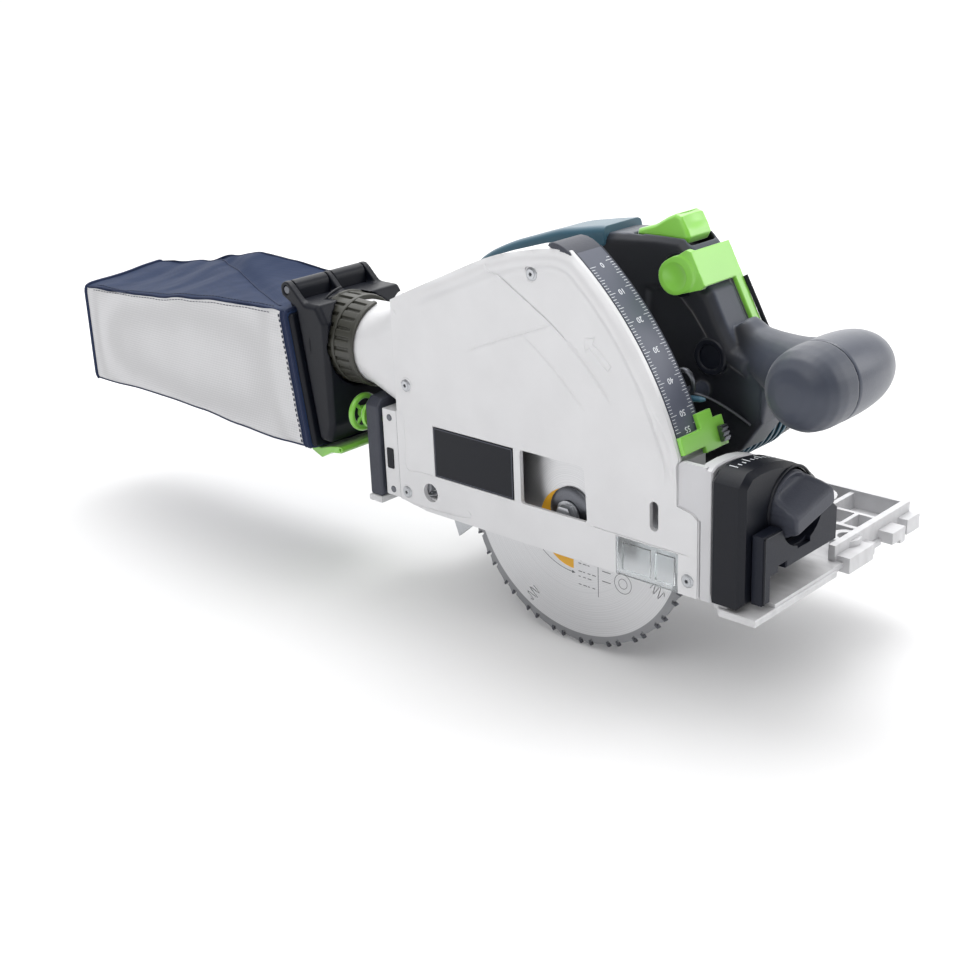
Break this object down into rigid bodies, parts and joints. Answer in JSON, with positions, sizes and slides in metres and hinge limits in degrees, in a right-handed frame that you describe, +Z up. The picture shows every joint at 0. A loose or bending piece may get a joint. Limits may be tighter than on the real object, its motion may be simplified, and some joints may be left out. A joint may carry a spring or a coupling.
{
  "type": "track plunge saw",
  "caption": "Cordless plunge-cut circular saw for a guide rail: bevelling guard with depth scale, plunging motor unit with loop handle and battery, and a framed dust bag.",
  "frame": {"origin": "on the flat underside of the sole, below the motor, level with the blade arbor along X and 68 mm from the blade plane", "axes": "+X forward along the cut, +Y away from the blade towards the motor side, +Z up out of the sole"},
  "size_m": [0.5682, 0.177, 0.2438],
  "materials": {
    "cast_alloy": "cast, light grey",
    "silver_paint": "silver grey paint on die casting",
    "case_alloy": "dark paint on die casting",
    "charcoal_plastic": "fine texture",
    "black_plastic": "fine texture",
    "teal_plastic": "satin",
    "lime_plastic": "satin",
    "soft_grip": "soft touch",
    "steel": "ground",
    "dark_steel": "blackened",
    "copper_winding": "varnished",
    "clear_plastic": "clear",
    "bag_fabric": "woven",
    "circuit_board": "coated"
  },
  "bodies": {
    "base": {"sole_plate": "cast_alloy", "front_quadrant": "black_plastic", "front_cover": "black_plastic", "rear_quadrant": "charcoal_plastic"},
    "guide_cam_front": {"guide_cam_front": "lime_plastic"},
    "guide_cam_rear": {"guide_cam_rear": "lime_plastic"},
    "bevel_knob_front": {"bevel_knob_front": "black_plastic"},
    "bevel_knob_rear": {"bevel_knob_rear": "lime_plastic"},
    "tilt_frame": {"guard_shell": "silver_paint", "guard_screw_1": "steel", "guard_screw_2": "steel", "guard_screw_3": "steel", "guard_screw_4": "steel", "depth_scale": "charcoal_plastic", "name_plate": "black_plastic", "tilt_block_front": "silver_paint", "tilt_block_rear": "silver_paint", "pivot_pin": "steel", "return_spring": "steel"},
    "sight_window": {"sight_window": "clear_plastic"},
    "port_ring": {"port_ring": "black_plastic"},
    "depth_stop": {"depth_stop": "lime_plastic"},
    "stop_button": {"stop_button": "dark_steel"},
    "bag_adapter": {"bag_adapter": "black_plastic", "port_spigot": "black_plastic", "bag_hinge_pin": "dark_steel"},
    "bag": {"bag_frame": "black_plastic", "dust_bag": "bag_fabric"},
    "bag_latch": {"bag_latch": "lime_plastic"},
    "plunge_unit": {"gear_case": "case_alloy", "handle_body": "soft_grip", "handle_pad": "teal_plastic", "grip_near": "soft_grip", "grip_far": "soft_grip", "motor_housing": "teal_plastic", "motor_cap": "black_plastic", "stator": "copper_winding", "control_board": "circuit_board", "motor_bearing_front": "steel", "motor_bearing_rear": "steel", "arbor_bearing": "steel", "riving_knife": "steel", "battery_dock": "black_plastic"},
    "arbor": {"drive_gear": "dark_steel", "spindle": "steel", "inner_flange": "dark_steel", "outer_flange": "dark_steel", "blade_bolt": "steel", "saw_blade": "steel"},
    "rotor": {"armature": "dark_steel", "fan": "black_plastic"},
    "trigger": {"trigger": "lime_plastic"},
    "plunge_release": {"plunge_release": "lime_plastic"},
    "quick_lever": {"quick_lever": "lime_plastic"},
    "speed_dial": {"speed_dial": "black_plastic"},
    "battery": {"battery_pack": "black_plastic"},
    "battery_button": {"battery_button": "lime_plastic"}
  },
  "joints": [
    {"name": "bevel", "type": "hinge", "parent": "base", "child": "tilt_frame", "pos_m": [0, -0.068, 0], "axis": [1, 0, 0], "range_deg": [0, 47]},
    {"name": "plunge", "type": "hinge", "parent": "tilt_frame", "child": "plunge_unit", "pos_m": [-0.108, -0.068, 0.018], "axis": [0, -1, 0], "range_deg": [0, 31.2]},
    {"name": "blade_spin", "type": "hinge", "parent": "plunge_unit", "child": "arbor", "pos_m": [0, -0.068, 0.025], "axis": [0, 1, 0], "continuous": true},
    {"name": "motor_spin", "type": "hinge", "parent": "plunge_unit", "child": "rotor", "pos_m": [-0.00574, -0.068, 0.04502], "axis": [0, 1, 0], "continuous": true},
    {"name": "guide_cam_front_turn", "type": "hinge", "parent": "base", "child": "guide_cam_front", "pos_m": [0.076, 0.058, 0], "axis": [0, 0, 1], "range_deg": [0, 90]},
    {"name": "guide_cam_rear_turn", "type": "hinge", "parent": "base", "child": "guide_cam_rear", "pos_m": [-0.1, 0.058, 0], "axis": [0, 0, 1], "range_deg": [0, 90]},
    {"name": "bevel_knob_front_turn", "type": "hinge", "parent": "base", "child": "bevel_knob_front", "pos_m": [0.12, -0.042, 0.051], "axis": [1, 0, 0], "range_deg": [-120, 60]},
    {"name": "bevel_knob_rear_turn", "type": "hinge", "parent": "base", "child": "bevel_knob_rear", "pos_m": [-0.158, -0.074, 0.053], "axis": [1, 0, 0], "range_deg": [-60, 120]},
    {"name": "sight_window_slide", "type": "slide", "parent": "tilt_frame", "child": "sight_window", "axis": [0, 0, -1], "range_m": [0, 0.009]},
    {"name": "port_ring_turn", "type": "hinge", "parent": "tilt_frame", "child": "port_ring", "pos_m": [-0.176, -0.061, 0.095], "axis": [1, 0, 0], "range_deg": [0, 60]},
    {"name": "depth_stop_slide", "type": "hinge", "parent": "tilt_frame", "child": "depth_stop", "pos_m": [-0.108, -0.068, 0.018], "axis": [0, -1, 0], "range_deg": [0, 30.8]},
    {"name": "stop_button_press", "type": "slide", "parent": "depth_stop", "child": "stop_button", "axis": [0, -1, 0], "range_m": [0, 0.0025], "stiffness_N_per_m": 300, "springref_m": -0.001},
    {"name": "bag_swivel", "type": "hinge", "parent": "tilt_frame", "child": "bag_adapter", "pos_m": [-0.176, -0.061, 0.095], "axis": [1, 0, 0], "range_deg": [-25, 25]},
    {"name": "bag_open", "type": "hinge", "parent": "bag_adapter", "child": "bag", "pos_m": [-0.205, -0.061, 0.127], "axis": [0, 1, 0], "range_deg": [0, 55]},
    {"name": "bag_latch_open", "type": "hinge", "parent": "bag_adapter", "child": "bag_latch", "pos_m": [-0.1722, -0.068, 0.029], "axis": [0, -1, 0], "range_deg": [0, 45]},
    {"name": "trigger_press", "type": "slide", "parent": "plunge_unit", "child": "trigger", "axis": [0, 0, 1], "range_m": [0, 0.005], "stiffness_N_per_m": 500, "springref_m": -0.002},
    {"name": "plunge_release_press", "type": "hinge", "parent": "plunge_unit", "child": "plunge_release", "pos_m": [0.047, -0.02, 0.1745], "axis": [0, -1, 0], "range_deg": [0, 5], "stiffness_Nm_per_rad": 1, "springref_deg": -5.73},
    {"name": "quick_lever_swing", "type": "hinge", "parent": "plunge_unit", "child": "quick_lever", "pos_m": [0.0616, -0.0052, 0.1646], "axis": [-0.4699, 0, 0.8827], "range_deg": [0, 55]},
    {"name": "speed_dial_turn", "type": "hinge", "parent": "plunge_unit", "child": "speed_dial", "pos_m": [-0.1135, -0.019, 0.106], "axis": [0, 1, 0], "range_deg": [0, 300]},
    {"name": "battery_slide", "type": "slide", "parent": "plunge_unit", "child": "battery", "axis": [-1, 0, 0], "range_m": [0, 0.035]},
    {"name": "battery_button_press", "type": "slide", "parent": "battery", "child": "battery_button", "axis": [1, 0, 0], "range_m": [0, 0.0022], "stiffness_N_per_m": 600, "springref_m": -0.001}
  ],
  "couplings": [
    {"joint": "motor_spin", "follows": "blade_spin", "ratio": -3.4545}
  ]
}
